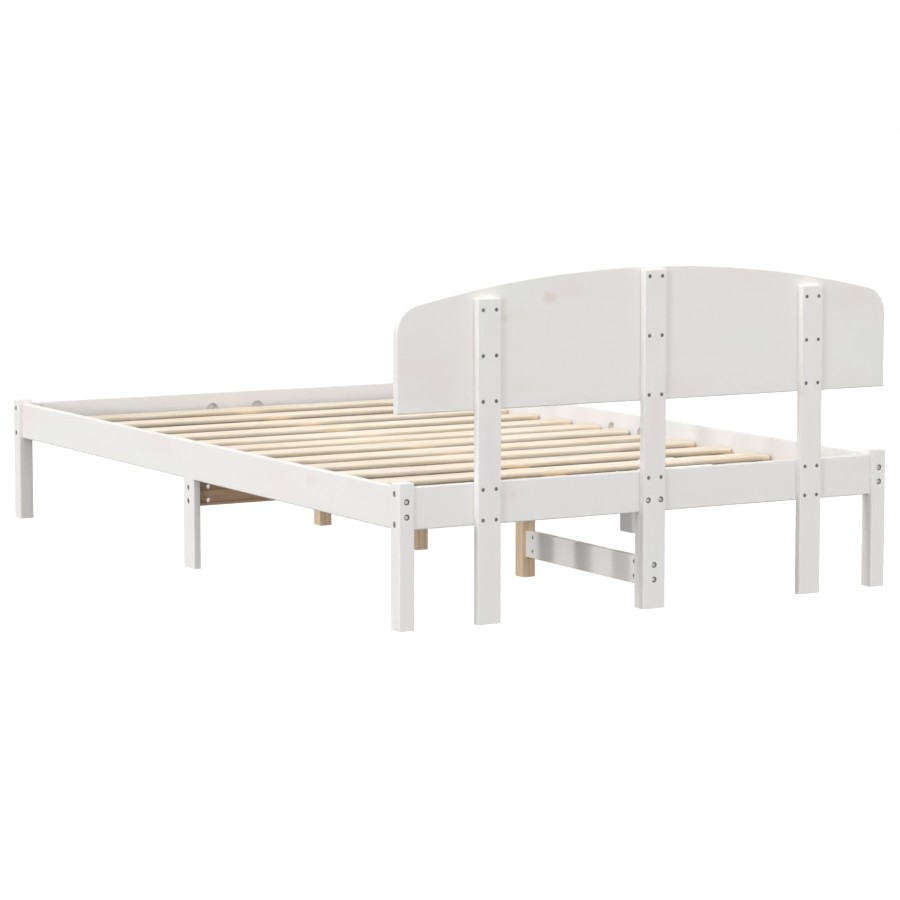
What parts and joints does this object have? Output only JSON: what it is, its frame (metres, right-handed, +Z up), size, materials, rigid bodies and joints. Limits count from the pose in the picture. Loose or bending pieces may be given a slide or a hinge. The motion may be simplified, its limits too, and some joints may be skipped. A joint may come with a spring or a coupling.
{
  "type": "bed frame with headboard",
  "caption": "Slatted wooden bed frame with square corner legs, split rails, a centre beam on legs, and an arched headboard panel carried by flat posts.",
  "frame": {"origin": "on the floor under the middle of the bed frame, at the foot of the middle centre leg", "axes": "+Y to the head end, +Z up, +X to the side called left (the near long side in the picture)"},
  "size_m": [1.255, 2.068, 0.7419],
  "materials": {
    "white_paint": "satin white paint on pine",
    "natural_pine": "planed, untreated pine",
    "dowel_wood": "bare wood",
    "zinc_steel": "zinc plated",
    "dark_steel": "dull plated steel"
  },
  "bodies": {
    "root": {"leg_head_left": "white_paint", "leg_head_right": "white_paint", "leg_foot_left": "white_paint", "leg_foot_right": "white_paint", "side_rail_left_head": "white_paint", "side_rail_left_foot": "white_paint", "side_rail_right_head": "white_paint", "side_rail_right_foot": "white_paint", "head_rail_left": "white_paint", "head_rail_right": "white_paint", "foot_rail_left": "white_paint", "foot_rail_right": "white_paint", "mid_leg_left": "white_paint", "mid_leg_right": "white_paint", "mid_leg_head": "white_paint", "mid_leg_foot": "white_paint", "post_left": "white_paint", "post_centre": "white_paint", "post_right": "white_paint", "headboard_panel": "white_paint", "ledger_left_head": "natural_pine", "ledger_left_foot": "natural_pine", "ledger_right_head": "natural_pine", "ledger_right_foot": "natural_pine", "centre_beam_head": "natural_pine", "centre_beam_foot": "natural_pine", "centre_leg_head": "natural_pine", "centre_leg_middle": "natural_pine", "centre_leg_foot": "natural_pine", "cross_beam": "natural_pine", "stretcher_head": "white_paint", "stretcher_foot": "white_paint", "slat_01": "natural_pine", "slat_02": "natural_pine", "slat_03": "natural_pine", "slat_04": "natural_pine", "slat_05": "natural_pine", "slat_06": "natural_pine", "slat_07": "natural_pine", "slat_08": "natural_pine", "slat_09": "natural_pine", "slat_10": "natural_pine", "slat_11": "natural_pine", "slat_12": "natural_pine", "slat_13": "natural_pine", "corner_bolts": "zinc_steel", "barrel_nuts": "zinc_steel", "beam_bolts": "zinc_steel", "cross_beam_bolts": "zinc_steel", "stretcher_bolts": "zinc_steel", "splice_bolts": "zinc_steel", "splice_nuts": "zinc_steel", "splice_washers": "zinc_steel", "post_screws": "dark_steel", "slat_screws": "dark_steel", "ledger_screws": "dark_steel", "beam_screws": "dark_steel", "splice_dowels": "dowel_wood"}
  },
  "joints": []
}
